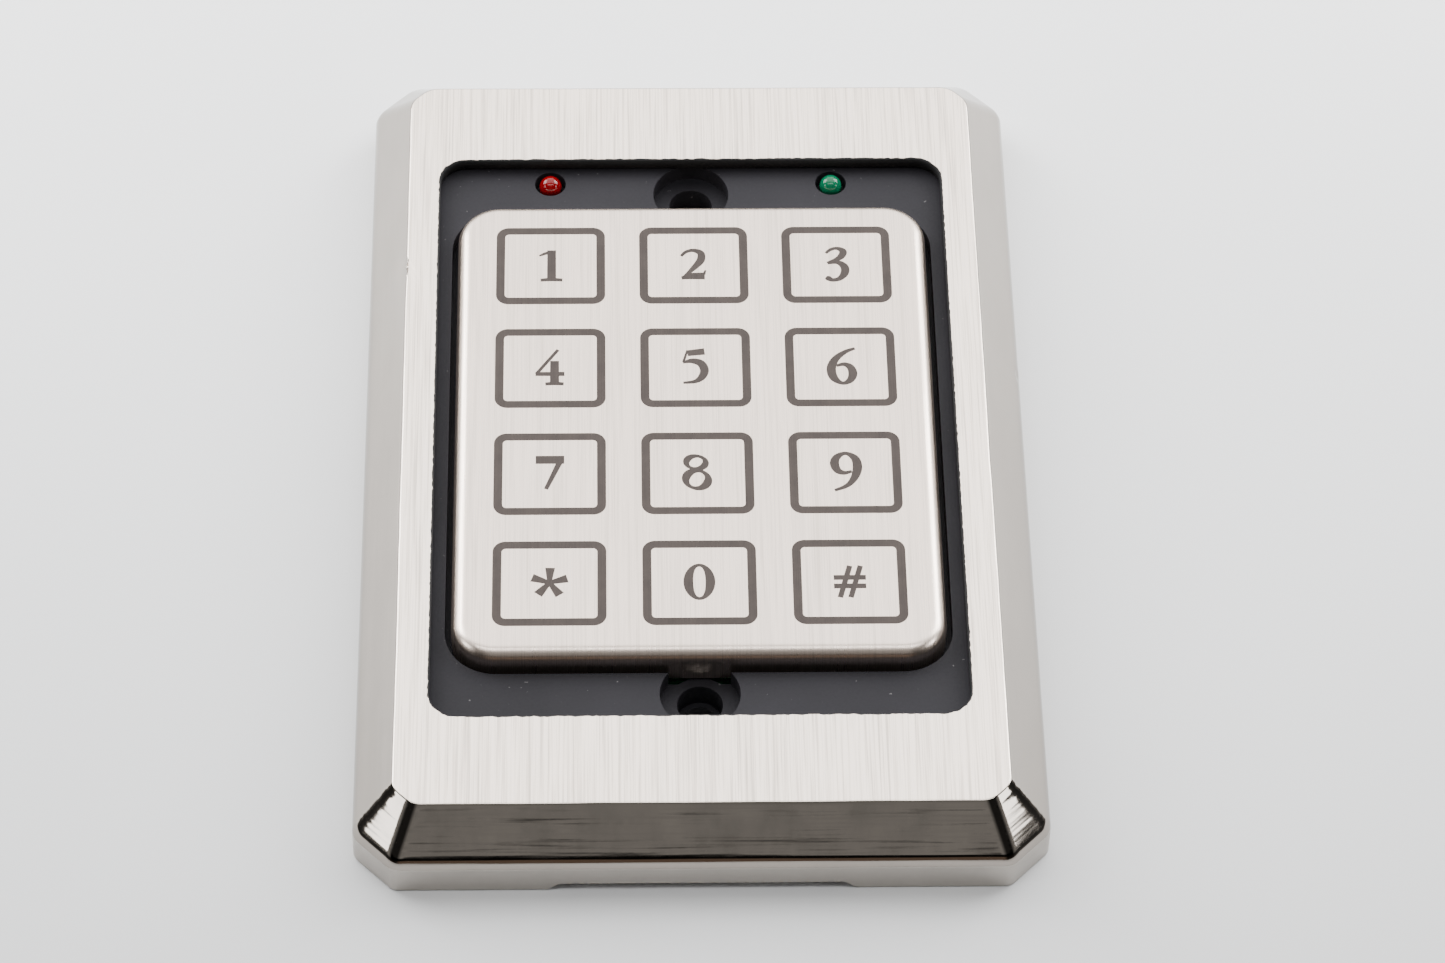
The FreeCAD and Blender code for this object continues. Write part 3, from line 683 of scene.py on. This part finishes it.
def star_arms():
    """Five arms that widen from the middle to their tips."""
    middle_x, middle_y, reach = 0.15, 0.1, 2.35
    arms = []
    for k in range(5):
        angle = math.radians(88 + 72 * k)
        tip = (reach * math.cos(angle) + middle_x, reach * math.sin(angle) + middle_y, 1.25)
        arms.append(pen((middle_x, middle_y, 0.55), tip))
    return arms


# Strokes of each sign, as pen points (x, y, width) in mm.
SIGNS = {
    "1": [pen((-1.4, 1.75, 0.25), (-0.6, 2.15, 0.45), (0.35, 2.5, 0.5)),
          pen((0.25, 2.7, 1.15), (0.25, -2.5, 1.2)),
          pen((-1.2, -2.5, 0.5), (0.2, -2.4, 0.6), (1.7, -2.5, 0.5))],
    "2": [pen((-1.5, 1.6, 0.4), (-0.9, 2.3, 0.5), (0.1, 2.6, 0.6), (1.1, 2.1, 0.95), (1.1, 0.9, 1.1),
              (0.3, -0.3, 0.85), (-0.7, -1.5, 0.5), (-1.4, -2.3, 0.4)),
          pen((-1.5, -2.25, 0.5), (-0.4, -1.95, 1.05), (0.6, -1.9, 1.15), (1.6, -1.9, 1.2)),
          pen((1.5, -1.6, 0.4), (1.7, -0.9, 0.25))],
    "3": [pen((-1.2, 2.0, 0.4), (-0.6, 2.6, 0.5), (0.3, 2.85, 0.55), (1.1, 2.3, 1.0), (0.8, 1.4, 0.95),
              (0.0, 0.8, 0.6), (-1.1, 0.3, 0.35)),
          pen((-1.0, 0.2, 0.35), (0.3, 0.4, 0.7), (1.2, -0.4, 1.1), (1.2, -1.5, 1.1), (0.5, -2.45, 0.75),
              (-0.4, -2.7, 0.6), (-1.0, -2.4, 0.85), (-1.3, -2.2, 0.5))],
    "4": [pen((1.15, 3.1, 0.45), (-1.7, -1.0, 0.45)), pen((-1.8, -1.0, 0.65), (2.0, -1.0, 0.7)),
          pen((0.7, 1.2, 1.15), (0.7, -2.6, 1.2)),
          pen((-0.5, -2.7, 0.5), (0.7, -2.6, 0.6), (1.9, -2.7, 0.5))],
    "5": [pen((-0.9, 2.4, 1.0), (1.35, 2.7, 1.1)), pen((-0.9, 2.9, 0.3), (-1.45, 0.9, 0.35)),
          pen((-1.5, 0.8, 0.3), (-0.4, 1.1, 0.8), (0.8, 0.7, 1.1), (1.3, -0.5, 1.15), (0.9, -1.7, 1.0),
              (0.0, -2.4, 0.6), (-1.5, -2.6, 0.35))],
    "6": [pen((2.1, 3.1, 0.4), (0.8, 2.5, 0.65), (-0.5, 1.3, 1.0), (-1.1, -0.3, 1.25), (-0.8, -1.9, 1.1),
              (0.3, -2.8, 0.55), (1.3, -2.3, 0.95), (1.7, -1.2, 1.2), (1.4, -0.1, 1.0), (0.6, 0.4, 0.65),
              (-0.4, 0.15, 0.4))],
    "7": [pen((-1.7, 2.3, 1.3), (2.0, 2.3, 1.3)), pen((1.65, 2.5, 0.8), (-0.35, -2.5, 0.55))],
    "8": [ring(-0.05, 1.75, 1.25, 1.05, 0.45, 0.95, -0.5), ring(0.05, -1.05, 1.45, 1.45, 0.5, 1.15, -0.5)],
    "9": [pen((-1.3, -2.95, 0.4), (0.3, -2.2, 0.65), (1.3, -0.9, 1.0), (1.75, 0.8, 1.25), (1.45, 2.3, 1.05),
              (0.3, 3.1, 0.55), (-0.8, 2.55, 0.95), (-1.2, 1.5, 1.2), (-0.85, 0.35, 1.0), (0.0, -0.1, 0.65),
              (1.0, 0.15, 0.4))],
    "star": star_arms(),
    "0": [ring(0.1, 0.1, 1.4, 2.65, 0.45, 1.25)],
    "hash": [pen((-0.55 + x, -2.5, 0.7), (0.8 + x, 2.5, 0.7)) for x in (-0.6, 0.75)]
            + [pen((-1.9, y, 0.75), (2.2, y, 0.75)) for y in (-0.7, 0.65)],
}


def ribbon(line, closed):
    """Four-sided patches along a stroke."""
    count = len(line)
    edges = []
    for i, point in enumerate(line):
        before = line[i - 1] if closed or i else point
        after = line[(i + 1) % count] if closed or i < count - 1 else point
        along = (after - before).xy.normalized()
        side = Vector((-along.y, along.x)) * point.z / 2
        edges.append((point.xy + side, point.xy - side))
    pairs = list(zip(edges, edges[1:] + edges[:1])) if closed else list(zip(edges, edges[1:]))
    return [(a[1], b[1], b[0], a[0]) for a, b in pairs]


def flat_sign(name, strokes):
    """One thin mesh over all the strokes of a sign, with their overlaps merged."""
    patches = [patch for line, closed in strokes for patch in ribbon(line, closed)]
    corners = [corner for patch in patches for corner in patch]
    faces = [tuple(range(4 * i, 4 * i + 4)) for i in range(len(patches))]
    points, _, triangles, _, _, sources = delaunay_2d_cdt(corners, [], faces, 0, 0.0001)
    bm = bmesh.new()
    verts = [bm.verts.new((p.x * MM, p.y * MM, 0)) for p in points]
    for triangle, source in zip(triangles, sources):
        if source:
            bm.faces.new([verts[i] for i in triangle])
    bmesh.ops.delete(bm, geom=[v for v in bm.verts if not v.link_faces], context="VERTS")
    bmesh.ops.dissolve_limit(bm, angle_limit=0.01, verts=bm.verts, edges=bm.edges)
    raised = bmesh.ops.extrude_face_region(bm, geom=bm.faces[:])
    top = [part for part in raised["geom"] if isinstance(part, bmesh.types.BMVert)]
    bmesh.ops.translate(bm, verts=top, vec=(0, 0, LEGEND_DEPTH))
    bmesh.ops.recalc_face_normals(bm, faces=bm.faces)
    return mesh_object(name, bm)


def key_frame(name):
    """Etched border of a key: round outside corners and tighter inside ones."""
    outside = (KEY_HALF_X, KEY_HALF_Y, KEY_R)
    inside = (KEY_HALF_X - KEY_LINE, KEY_HALF_Y - KEY_LINE, KEY_INNER_R)
    rings = []
    for (half_x, half_y, radius), z in ((outside, 0), (outside, 1), (inside, 1), (inside, 0)):
        plan = outline(half_x * MM, half_y * MM, 0, radius * MM, 4, 4, 6)
        rings.append([Vector((p.x, p.y, z * LEGEND_DEPTH)) for p in plan])
    piece = loft(name, rings, closed_profile=True)
    for face in piece.data.polygons:
        face.use_smooth = False
    return piece


def place_legend(piece, x, y):
    for vertex in piece.data.vertices:
        vertex.co += Vector((x, y, CAP_TOP_Z + LEGEND_LIFT - LEGEND_DEPTH))
    give(piece, LEGEND)
    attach(piece, "reader")


def make_legends():
    for row, signs in enumerate(KEY_ROWS):
        for column, sign in enumerate(signs):
            x = (column - 1) * PITCH_X
            y = (1.5 - row) * PITCH_Y
            place_legend(key_frame("key_frame_" + sign), x + KEY_FRAME_SHIFT, y)
            place_legend(flat_sign("key_sign_" + sign, SIGNS[sign]), x, y)


# ---------------------------------------------------------------- build

def finish_cad_nodes():
    for node, material in NODE_FINISH.items():
        give(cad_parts[node], material)


make_camera()
make_floor()
make_world()
make_lights()
finish_cad_nodes()
make_casting()
make_bosses()
make_cap()
make_legends()
